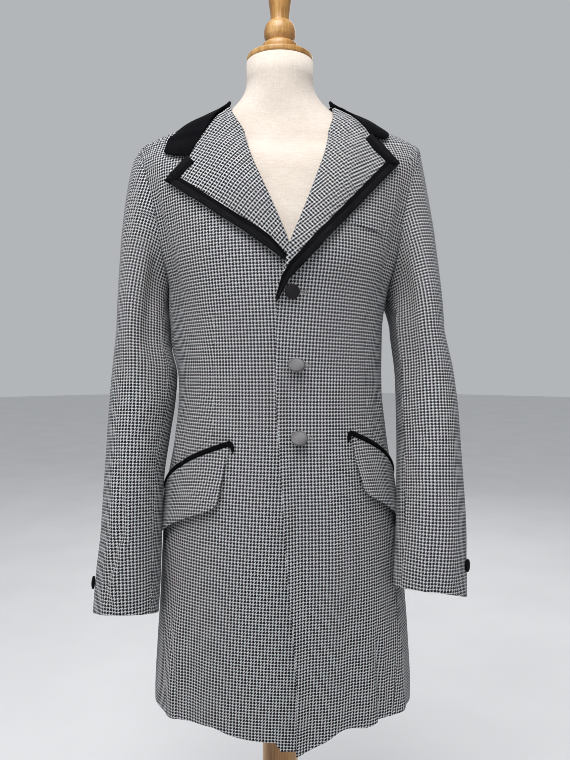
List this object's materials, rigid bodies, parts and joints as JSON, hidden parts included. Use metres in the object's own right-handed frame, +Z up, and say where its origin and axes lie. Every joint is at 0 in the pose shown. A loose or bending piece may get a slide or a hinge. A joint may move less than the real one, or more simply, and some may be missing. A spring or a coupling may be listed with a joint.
{
  "type": "tuxedo jacket on a dress form",
  "caption": "Long houndstooth tuxedo jacket with a velvet collar and braid-edged lapels, buttoned on a limbless cream dress form with a turned wooden stand.",
  "frame": {"origin": "centre of the base's underside, on the floor, midway between the sleeves' outsides", "axes": "+Z up; the jacket faces -Y; +X towards the wearer's left"},
  "size_m": [0.5106, 0.45, 1.6266],
  "materials": {
    "houndstooth": "fine black and white houndstooth wool suiting",
    "velvet": "black cotton velvet",
    "braid": "ribbed black braid",
    "button_cloth": "satin cloth covering",
    "form_cloth": "cream linen cover",
    "wood": "oiled light oak"
  },
  "bodies": {
    "root": {"back_left": "houndstooth", "back_right": "houndstooth", "base": "wood", "braid_left": "braid", "braid_right": "braid", "breast_welt": "houndstooth", "button_1": "button_cloth", "button_2": "button_cloth", "button_3": "button_cloth", "collar": "velvet", "collar_stand": "velvet", "cuff_button_left": "velvet", "cuff_button_right": "velvet", "finial": "wood", "flap_left": "houndstooth", "flap_right": "houndstooth", "form_torso": "form_cloth", "front_left": "houndstooth", "front_right": "houndstooth", "lapel_left": "houndstooth", "lapel_right": "houndstooth", "neck_plate": "wood", "piping_left": "velvet", "piping_right": "velvet", "post": "wood", "side_left": "houndstooth", "side_right": "houndstooth", "top_sleeve_left": "houndstooth", "top_sleeve_right": "houndstooth", "under_sleeve_left": "houndstooth", "under_sleeve_right": "houndstooth"}
  },
  "joints": []
}
